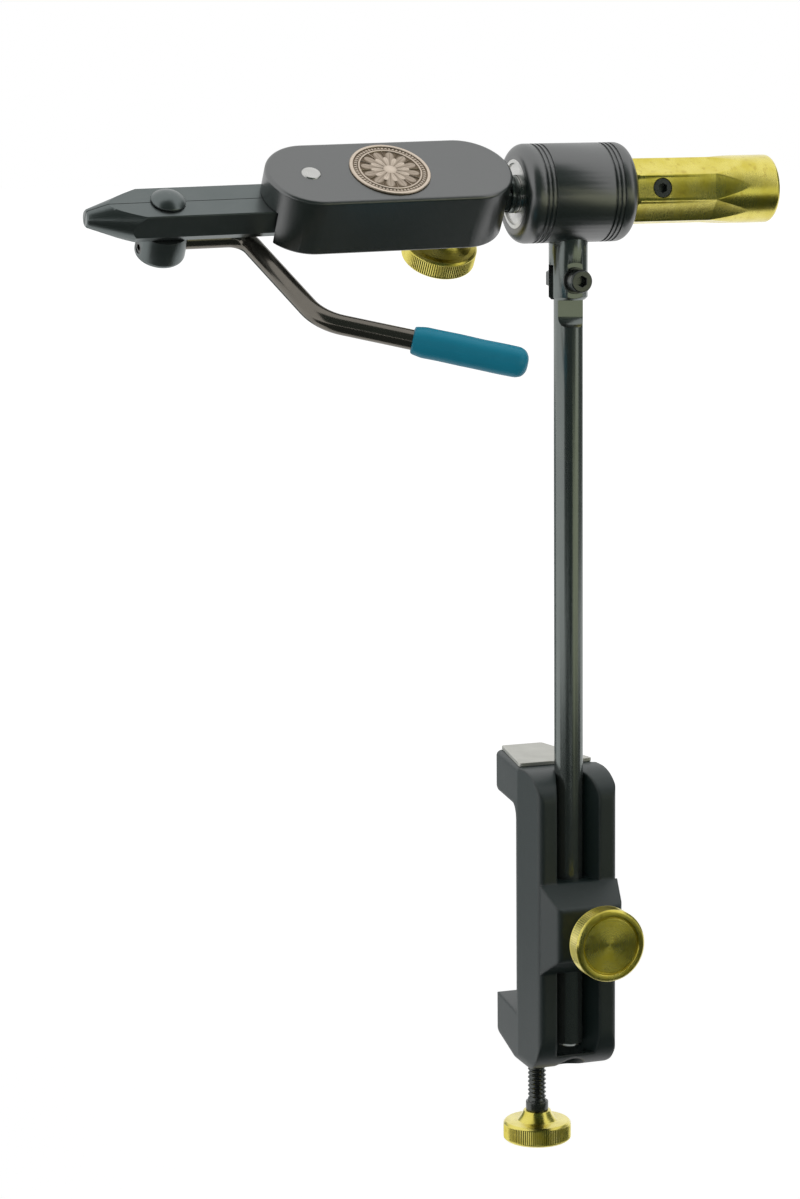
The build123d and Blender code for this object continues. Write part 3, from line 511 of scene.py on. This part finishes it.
def bronze(line, low, high):
    """Antique bronze, bright on what stands up and brown in the hollows."""
    finish = Finish("bronze")
    height = finish.ease(finish.along(line), low, high)
    patina = finish.noise(per_metre=700.0, detail=5.0)
    hollow = finish.mix(patina, colour(0.11, 0.080, 0.050), colour(0.22, 0.165, 0.11))
    rubbed = finish.mix(patina, colour(0.64, 0.54, 0.44), colour(0.76, 0.66, 0.55))
    return finish.surface({
        "Base Color": finish.mix(height, hollow, rubbed),
        "Metallic": 0.85,
        "Roughness": 0.46 - height * 0.14 + patina * 0.08,
        "Normal": finish.bump(patina, depth=0.012 * mm),
    })


def bright_steel():
    """Ground steel of the bearings and the dowel."""
    finish = Finish("bright_steel")
    cloud = finish.noise(per_metre=500.0)
    return finish.surface({
        "Base Color": finish.mix(cloud, colour(0.64, 0.64, 0.62), colour(0.52, 0.52, 0.50)),
        "Metallic": 1.0,
        "Roughness": 0.22 + cloud * 0.14,
        "Normal": finish.bump(cloud, depth=0.004 * mm),
    })


def spring_wire():
    """Drawn spring wire."""
    finish = Finish("spring_wire")
    cloud = finish.noise(per_metre=900.0)
    return finish.surface({
        "Base Color": finish.mix(cloud, colour(0.42, 0.41, 0.39), colour(0.26, 0.25, 0.24)),
        "Metallic": 1.0,
        "Roughness": 0.3 + cloud * 0.1,
    })


def dark_polished_steel():
    """Polished, darkened lever rod."""
    finish = Finish("dark_polished_steel")
    cloud = finish.noise(per_metre=140.0, detail=4.0)
    return finish.surface({
        "Base Color": finish.mix(cloud, colour(0.19, 0.172, 0.145), colour(0.135, 0.128, 0.113)),
        "Metallic": 0.9,
        "Roughness": 0.13 + cloud * 0.10,
        "Normal": finish.bump(cloud, depth=0.02 * mm),
    })


def teal_vinyl():
    """Dipped vinyl: slightly uneven, with a soft gloss."""
    finish = Finish("teal_vinyl")
    skin = finish.noise(per_metre=1800.0, detail=2.0)
    ripple = finish.noise(per_metre=170.0)
    dust = finish.ease(finish.noise(per_metre=2600.0, detail=1.0), low=0.70, high=0.78)
    base = finish.mix(ripple, colour(0.0, 0.235, 0.355), colour(0.0, 0.275, 0.41))
    return finish.surface({
        "Base Color": finish.mix(dust * 0.25, base, colour(0.10, 0.24, 0.32)),
        "Roughness": 0.36 + skin * 0.10,
        "Specular IOR Level": 0.35,
        "Normal": finish.bump(skin * 0.5 + ripple * 0.5, depth=0.03 * mm),
    })


def paint(names, material):
    """Give CAD nodes a finish."""
    for name in names:
        mesh = nodes[name].data
        mesh.materials.clear()
        mesh.materials.append(material)


# Outlines: points of distance along the line and distance from it
def steps(start, end, count):
    """Evenly spaced values from start to end, both included."""
    return [start + (end - start) * number / count for number in range(count + 1)]


def saw(value):
    """Triangle wave from 1 to 0 and back over each whole step."""
    return abs(2 * (value % 1) - 1)


def soften(outline, size):
    """Outline with its inner corners rounded by short curves."""
    softened = [outline[0]]
    for before, corner, after in zip(outline, outline[1:], outline[2:]):
        ends = []
        for neighbour in (before, after):
            run = (neighbour[0] - corner[0], neighbour[1] - corner[1])
            share = min(size / math.hypot(*run), soften_limit)
            ends.append((corner[0] + run[0] * share, corner[1] + run[1] * share))
        for turn in steps(0, 1, soften_rows):
            shares = ((1 - turn) ** 2, 2 * turn * (1 - turn), turn ** 2)
            points = (ends[0], corner, ends[1])
            softened.append(tuple(
                sum(share * point[axis] for share, point in zip(shares, points)) for axis in (0, 1)
            ))
    return softened + [outline[-1]]


def flare(start, end, hollow):
    """Curve between two outline points, drawn in towards the line by the hollow at its middle."""
    points = []
    for turn in steps(0, 1, flare_rows):
        pull = hollow * 4 * turn * (1 - turn)
        along = start[0] + (end[0] - start[0]) * turn
        points.append((along, start[1] + (end[1] - start[1]) * turn - pull))
    return points


def round_end(high, radius, size, rows):
    """Quarter round that closes an outline at its top and ends on the line."""
    points = [
        (high - size * (1 - math.sin(turn)), radius - size * (1 - math.cos(turn)))
        for turn in steps(0, math.pi / 2, rows)
    ]
    return points + [(high, 0)]


def lathe(outline, segments, worked=None):
    """Corners and faces of an outline turned about the Z axis.

    A worked surface gives the along and radius of each point from its plain ones and its angle.
    """
    corners, faces, rows = [], [], []
    for along, radius in outline:
        if radius == 0:
            rows.append([len(corners)] * segments)
            corners.append((0, 0, along))
            continue
        rows.append(list(range(len(corners), len(corners) + segments)))
        for number in range(segments):
            angle = 2 * math.pi * number / segments
            height, reach = worked(along, radius, angle) if worked else (along, radius)
            corners.append((reach * math.cos(angle), reach * math.sin(angle), height))
    for row, following in zip(rows, rows[1:]):
        for number in range(segments):
            nearby = (number + 1) % segments
            face = [row[number], row[nearby], following[nearby], following[number]]
            kept = [corner for spot, corner in enumerate(face) if corner not in face[:spot]]
            if len(kept) > 2:
                faces.append(kept)
    return corners, faces


def new_mesh(name, shape):
    """Mesh of corners and faces."""
    corners, faces = shape
    mesh = bpy.data.meshes.new(name)
    mesh.from_pydata(corners, [], faces)
    return mesh


def smooth(mesh):
    """Shade a mesh as smooth between its sharp edges."""
    mesh.shade_smooth()
    mesh.set_sharp_from_angle(angle=sharp_angle)
    mesh.update()


def new_piece(name, line, shape, material, node, own_axes=False):
    """Make a piece on a line, in place of a CAD node and on its body.

    A piece with its own axes has its Z axis on the line, which gives its brushed shine a direction.
    """
    mesh = new_mesh(name, shape)
    if not own_axes:
        mesh.transform(line.placed())
    mesh.materials.append(material)
    smooth(mesh)
    piece = bpy.data.objects.new(name, mesh)
    if own_axes:
        piece.matrix_world = line.placed()
    bpy.context.scene.collection.objects.link(piece)
    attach(piece, nodes[node]["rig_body"])
    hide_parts(node)
    return piece


def drill(piece, line, low, high, radius):
    """Cut a round hole out of a piece."""
    outline = [(low, 0), (low, radius), (high, radius), (high, 0)]
    mesh = new_mesh("drill", lathe(outline, drill_segments))
    mesh.transform(line.placed())
    cutter = bpy.data.objects.new("drill", mesh)
    bpy.context.scene.collection.objects.link(cutter)
    hole = piece.modifiers.new("hole", "BOOLEAN")
    hole.operation = "DIFFERENCE"
    hole.object = cutter
    cut = piece.evaluated_get(bpy.context.evaluated_depsgraph_get())
    piece.data = bpy.data.meshes.new_from_object(cut)
    piece.modifiers.clear()
    bpy.data.objects.remove(cutter)
    smooth(piece.data)


def round_edges(names, width):
    """Break the sharp edges of CAD nodes with a small round that catches the light."""
    for name in names:
        modifiers = nodes[name].modifiers
        weld = modifiers.new("weld", "WELD")
        weld.merge_threshold = weld_gap
        flat = modifiers.new("flat", "DECIMATE")
        flat.decimate_type = "DISSOLVE"
        flat.angle_limit = flat_angle
        bevel = modifiers.new("round", "BEVEL")
        bevel.width = width
        bevel.segments = round_segments
        bevel.limit_method = "ANGLE"
        bevel.angle_limit = round_angle
        bevel.harden_normals = True


# Pieces finer than their solids
def knurled_knob(name, node, line, root, wheel_height, own_axes):
    """Brass knob with a straight-knurled wheel and a dished face, on a root given as an outline."""
    radius = line.reach(node)
    face = line.span(node)[1]
    back = face - wheel_height
    knurl_start, knurl_end = back + knob_edge, face - knob_edge
    rim = radius - knob_rim_width
    groove = rim - knob_groove_width
    outline = soften(root + [
        (back, radius - knob_edge),
        (knurl_start, radius),
        (knurl_start + knurl_run_out, radius),
        (knurl_end - knurl_run_out, radius),
        (knurl_end, radius),
        (face, radius - knob_edge),
        (face, rim),
        (face - knob_groove_depth, rim - knob_groove_slope),
        (face - knob_groove_depth, groove),
        (face - knob_dish_step, groove - knob_groove_slope),
        (face - knob_dish_depth, 0),
    ], knob_softening)

    def knurl(along, reach, angle):
        run = min(along - knurl_start, knurl_end - along) / knurl_run_out
        depth = knurl_depth * max(0, min(run, 1))
        return along, reach - depth * saw(knurl_count * angle / (2 * math.pi))

    shape = lathe(outline, knurl_count * knurl_segments, knurl)
    finish = brass(name, upright_line, True, brushed_shine) if own_axes else brass(name, line, True)
    new_piece(name, line, shape, finish, node, own_axes)


def make_stem_lock():
    """Knob on the clamp's boss, with a plain neck."""
    low, high = stem_lock_line.span("stem_lock_knob")
    neck = [(low, 0), (low, lock_neck_radius), (high - lock_wheel_height, lock_neck_radius)]
    knurled_knob("stem_lock_wheel", "stem_lock_knob", stem_lock_line, neck, lock_wheel_height, True)


def make_clamp_knob():
    """Knob under the clamp screw, with a hollow cone."""
    low = clamp_screw_line.span("clamp_knob")[0]
    cone = flare((low, cone_top_radius), (low + cone_height, cone_base_radius), cone_hollow)
    root = [(low, 0)] + cone
    knurled_knob("clamp_wheel", "clamp_knob", clamp_screw_line, root, clamp_wheel_height, True)


def make_head_lock():
    """Thumbscrew's knob beneath the head, with a neck that flares into the wheel."""
    low = head_lock_line.span("head_lock_knob")[0]
    flare_start = low + thumb_neck_length
    flare_end = flare_start + thumb_flare_length
    skirt = flare(
        (flare_start, thumb_neck_radius), (flare_end, thumb_flare_radius), thumb_flare_hollow
    )
    root = [(low, 0), (low, thumb_neck_radius)] + skirt
    knurled_knob("head_lock_wheel", "head_lock_knob", head_lock_line, root, thumb_wheel_height, False)


def make_rotary_knob():
    """Brass bar with eight hollow flutes that run out before its round end."""
    low, high = bar_line.span("rotary_knob")
    radius = bar_line.reach("rotary_knob")
    half = math.pi / flute_count
    ramp_start = low + flute_length
    ramp_end = ramp_start + flute_run_out
    ridge = radius * math.cos(half)
    centre = ridge + math.sqrt(flute_radius ** 2 - (radius * math.sin(half)) ** 2)
    outline = [(low, 0), (low, radius - bar_chamfer), (low + bar_chamfer, radius)]
    outline += [(along, radius) for along in steps(ramp_start, ramp_end, flute_rows)]
    outline += round_end(high, radius, bar_end_round, bar_end_rows)

    def fluted(along, reach, angle):
        run = max(0, min((ramp_end - along) / flute_run_out, 1))
        turn = (angle + half) % (2 * half) - half
        lift = (radius + flute_radius - centre) * (1 - run ** flute_run_out_power)
        away = centre + lift
        hollow = away * math.cos(turn) - math.sqrt(flute_radius ** 2 - (away * math.sin(turn)) ** 2)
        return along, min(reach, hollow)

    shape = lathe(outline, flute_count * flute_segments, fluted)
    finish = brass("brass_bar", bar_line, False)
    bar = new_piece("fluted_bar", bar_line, shape, finish, "rotary_knob")
    screw_line = Line(middle_of("knob_set_screw"), bar_line.side)
    screw_low, screw_high = screw_line.span("knob_set_screw")
    hole_radius = screw_line.reach("knob_set_screw") + set_screw_gap
    drill(bar, screw_line, screw_low, screw_high + radius, hole_radius)


def make_clamp_screw(material):
    """Clamp screw with a rolled thread between the foot and its collar."""
    low, high = clamp_screw_line.span("clamp_screw")
    start = clamp_screw_line.span("clamp_foot")[1]
    collar_base = clamp_screw_line.span("clamp_knob")[0]
    end = collar_base - collar_height
    rows = round((end - start) / thread_pitch * thread_rows)
    outline = [(low, 0), (low, screw_tip_radius), (start, screw_tip_radius)]
    outline += [(along, screw_radius) for along in steps(start, end, rows)]
    outline += soften([
        (end, screw_radius),
        (end, collar_radius),
        (collar_base, collar_radius),
        (collar_base, screw_tip_radius),
    ], collar_softening)
    outline += [(high, screw_tip_radius), (high, 0)]

    def thread(along, reach, angle):
        if reach != screw_radius:
            return along, reach
        run = max(0, min((along - start) / thread_pitch, (end - along) / thread_pitch, 1))
        hollow = saw(along / thread_pitch + angle / (2 * math.pi))
        return along, reach - thread_depth * run * min(thread_steepness * hollow, 1)

    shape = lathe(outline, screw_segments, thread)
    new_piece("clamp_thread", clamp_screw_line, shape, material, "clamp_screw")


def petal(share, angle, tip, turn, height):
    """Height of one of the rosette's two layers of petals."""
    spot = 2 * ((petal_count * angle / (2 * math.pi) + turn) % 1) - 1
    width = math.sqrt(max(0, 1 - (share / tip) ** petal_power))
    lobe = max(0, 1 - (spot / max(width, petal_least_width)) ** 2)
    rise = petal_root_height + (1 - petal_root_height) * share / tip
    vein = vein_depth * max(0, 1 - abs(spot) / vein_half_width)
    return height * math.sqrt(lobe) * rise - vein * (lobe > 0)


def rosette(share, angle):
    """Height from 0 to 1 of the medallion's ornament, by share of its radius and angle."""
    if share > rim_place:
        return 1.0
    if share > bead_ground_place:
        bead = abs(math.sin(bead_count * angle / 2))
        bulge = max(0, 1 - ((share - bead_middle) / bead_half_width) ** 2)
        return bead_ground_height + bead_height * bead * bulge
    if share > ring_place:
        return ring_height
    if share < button_place:
        return button_edge_height + button_dome_height * math.sqrt(1 - (share / button_place) ** 2)
    return max(hollow_height, petal(share, angle, **outer_petals), petal(share, angle, **inner_petals))


def make_medallion():
    """Bronze disc with a rim, a ring of beads and a common rosette in relief."""
    low, high = medallion_line.span("medallion")
    radius = medallion_line.reach("medallion")
    face_radius = radius - medallion_edge
    outline = [(low, 0), (low, radius), (high - medallion_edge, radius)]
    outline += [(high, reach) for reach in steps(face_radius, 0, medallion_rows)]

    def raised(along, reach, angle):
        if along != high:
            return along, reach
        return along - medallion_relief * (1 - rosette(reach / face_radius, angle)), reach

    shape = lathe(outline, medallion_segments, raised)
    finish = bronze(medallion_line, high - medallion_relief, high)
    new_piece("medallion_relief", medallion_line, shape, finish, "medallion")


def make_grip():
    """Dipped vinyl sleeve on the lever, a little uneven, with a closed round end."""
    low, high = grip_line.span("lever_grip")
    radius = grip_line.reach("lever_grip")
    full = low + grip_taper
    end = high - grip_end_round
    mouth = soften([(low, 0), (low, grip_mouth_radius), (full, radius), (end, radius)], grip_softening)
    outline = mouth[:-1]
    outline += [(along, radius) for along in steps(full + grip_plain_start, end, grip_rows)]
    outline += round_end(high, radius, grip_end_round, grip_end_rows)

    def uneven(along, reach, angle):
        if reach <= grip_ripple_reach * radius:
            return along, reach
        waves = math.sin(along / grip_short_wave + 2 * angle) + math.sin(along / grip_long_wave - angle)
        return along, reach - grip_ripple * (2 + waves)

    shape = lathe(outline, grip_segments, uneven)
    new_piece("vinyl_grip", grip_line, shape, teal_vinyl(), "lever_grip")


def make_spring():
    """Coil of round wire between the jaw tails."""
    low, high = spring_line.span("jaw_spring")
    middle = spring_line.reach("jaw_spring") - spring_wire_radius
    rows, spots = spring_turns * spring_rows, spring_wire_segments
    corners, faces = [], []
    for share in steps(0, 1, rows):
        angle = 2 * math.pi * spring_turns * share
        along = low + spring_wire_radius + (high - low - 2 * spring_wire_radius) * share
        for turn in steps(0, 2 * math.pi, spots)[:-1]:
            reach = middle + spring_wire_radius * math.cos(turn)
            height = along + spring_wire_radius * math.sin(turn)
            corners.append((reach * math.cos(angle), reach * math.sin(angle), height))
    for row in range(rows):
        for spot in range(spots):
            here, beside = row * spots + spot, row * spots + (spot + 1) % spots
            faces.append([here, here + spots, beside + spots, beside])
    faces += [list(range(spots)), list(range(rows * spots, (rows + 1) * spots))[::-1]]
    new_piece("coil_spring", spring_line, (corners, faces), spring_wire(), "jaw_spring")


# Camera and studio
def make_camera():
    """Camera at the photograph's viewing angle."""
    level = Vector((math.sin(camera_azimuth), math.cos(camera_azimuth), 0))
    across = Vector((math.cos(camera_azimuth), -math.sin(camera_azimuth), 0))
    ahead = level * math.cos(camera_pitch) - Vector((0, 0, math.sin(camera_pitch)))
    above = across.cross(ahead)
    right = across * math.cos(camera_roll) + above * math.sin(camera_roll)
    up = above * math.cos(camera_roll) - across * math.sin(camera_roll)
    lens = bpy.data.cameras.new("camera")
    lens.lens = camera_lens
    lens.sensor_width = camera_sensor
    camera = bpy.data.objects.new("camera", lens)
    turned = Matrix((right, up, -ahead)).transposed().to_4x4()
    camera.matrix_world = Matrix.Translation(camera_place) @ turned
    bpy.context.scene.collection.objects.link(camera)
    bpy.context.scene.camera = camera


def make_card(name, place, facing, size, material):
    """Flat rectangle that is part of the studio."""
    wide, tall = size[0] / 2, size[1] / 2
    corners = [(-wide, -tall, 0), (wide, -tall, 0), (wide, tall, 0), (-wide, tall, 0)]
    mesh = new_mesh(name, (corners, [(0, 1, 2, 3)]))
    mesh.materials.append(material)
    card = bpy.data.objects.new(name, mesh)
    card.location = place
    card.rotation_mode = "QUATERNION"
    card.rotation_quaternion = Vector(facing).to_track_quat("Z", "Y")
    bpy.context.scene.collection.objects.link(card)
    return card


def make_floor():
    """Pale floor below the lowest reach of the stem, bright to the camera and in reflections.

    Its matt share takes the object's shadow.
    """
    finish = Finish("floor")
    away = finish.radius(upright_line)
    brightness = finish.ease(away, floor_glow_start, floor_glow_end, floor_glow_near, floor_glow_far)
    glow = finish.node("ShaderNodeEmission", {}, {"Strength": finish.seen_directly() * brightness})
    grey = colour(floor_shade, floor_shade, floor_shade)
    matt = finish.node("ShaderNodeBsdfDiffuse", {}, {"Color": grey})
    both = finish.node("ShaderNodeAddShader", {}, {0: glow, 1: matt})
    finish.node("ShaderNodeOutputMaterial", {}, {"Surface": both})
    make_card("floor", (0, 0, floor_height), (0, 0, 1), (floor_size, floor_size), finish.material)


def make_flag(name, place, target, size, shade):
    """Card of an even shade that only reflections see."""
    finish = Finish(name)
    glow = finish.node("ShaderNodeEmission", {}, {"Color": shade, "Strength": 1.0})
    finish.node("ShaderNodeOutputMaterial", {}, {"Surface": glow})
    card = make_card(name, place, Vector(target) - Vector(place), size, finish.material)
    card.visible_camera = False
    card.visible_shadow = False
    card.visible_diffuse = False


def make_lamp(name, place, target, size, power):
    """Soft oblong lamp that looks at a target. Reflections show the white room instead of it."""
    light = bpy.data.lights.new(name, "AREA")
    light.shape = "RECTANGLE"
    light.size, light.size_y = size
    light.energy = power
    lamp = bpy.data.objects.new(name, light)
    lamp.location = place
    lamp.rotation_mode = "QUATERNION"
    lamp.rotation_quaternion = (Vector(target) - Vector(place)).to_track_quat("-Z", "Y")
    lamp.visible_glossy = False
    bpy.context.scene.collection.objects.link(lamp)


def make_world():
    """White to the camera and in reflections, and softer as a light."""
    world = bpy.data.worlds.new("studio")
    world.use_nodes = True
    bpy.context.scene.world = world
    finish = Finish("studio", world.node_tree)
    strength = room_light + finish.seen_directly() * (1 - room_light)
    values = {"Color": colour(1, 1, 1), "Strength": strength}
    background = finish.node("ShaderNodeBackground", {}, values)
    finish.node("ShaderNodeOutputWorld", {}, {"Surface": background})


make_camera()

paint(["hub_shell", "head_housing"], black_anodised())
paint(["stem"], black_rod(stem_line, "black_stem"))
paint(["hub_yoke"], black_rod(stem_line, "black_yoke"))
paint(["shaft"], black_rod(rotary_line, "black_shaft"))
paint(["jaw_near", "jaw_far", "cam_pin", "cam_barrel"], jaw_steel())
paint(["clamp_frame"], cast_black())
paint(["clamp_top_plate"], plate_metal())
screw_black = black_steel()
paint(["clamp_foot", "hinge_washer", "hinge_nut"], screw_black)
paint(["hinge_screw", "stem_lock_stud", "head_lock_screw"], screw_black)
paint(["knob_set_screw", "barrel_set_screw"], screw_black)
steel = bright_steel()
paint(["jaw_dowel"], steel)
for end in ("front", "rear"):
    paint([f"{end}_bearing_{part}" for part in ("outer_ring", "inner_ring", "balls", "shield")], steel)
paint(["lever_rod"], dark_polished_steel())

make_stem_lock()
make_clamp_knob()
make_head_lock()
make_rotary_knob()
make_clamp_screw(screw_black)
make_medallion()
make_grip()
make_spring()

round_edges(["head_housing", "hub_shell", "hub_yoke", "cam_barrel"], large_round)
round_edges(["jaw_near", "jaw_far", "stem", "shaft", "clamp_top_plate", "clamp_foot"], small_round)
round_edges(["cam_pin", "jaw_dowel", "hinge_screw", "hinge_washer", "hinge_nut"], fine_round)

make_floor()
make_world()
make_lamp(
    "overhead",
    place=(0.33, 0.20, 1.31),
    target=(-0.06, -0.03, 0.2),
    size=(1.0, 0.8),
    power=lamp_power,
)

# Flags that give the black pieces dark faces and bright bands, and a card that warms the brass
floor_dark = colour(0.03, 0.04, 0.035)
make_flag(
    "front_flag",
    place=(-0.85, -2.4, 1.8),
    target=(-0.85, 0, 1.8),
    size=(4.7, 6.4),
    shade=colour(0.045, 0.065, 0.057),
)
make_flag(
    "low_flag",
    place=(0.1, -0.91, floor_height + low_flag_lift),
    target=(0.1, -0.91, above_flags),
    size=(2.6, 1.6),
    shade=floor_dark,
)
make_flag(
    "head_flag",
    place=(-0.5, -0.10, floor_height + head_flag_lift),
    target=(-0.5, -0.10, above_flags),
    size=(1.34, 0.16),
    shade=floor_dark,
)
make_flag(
    "side_flag",
    place=(2.4, -0.3, 0.3),
    target=(0, -0.3, 0.3),
    size=(2.4, 3.0),
    shade=colour(0.12, 0.14, 0.13),
)
make_flag(
    "back_flag",
    place=(-0.22, 0.5, -0.07),
    target=(0, 0, -0.07),
    size=(0.3, 0.34),
    shade=colour(0.22, 0.26, 0.26),
)
make_flag(
    "warm_card",
    place=(0.80, -1.20, -0.05),
    target=(0, 0, 0.15),
    size=(1.25, 0.7),
    shade=colour(0.80, 0.82, 0.58),
)

bpy.context.scene.view_settings.view_transform = "Standard"
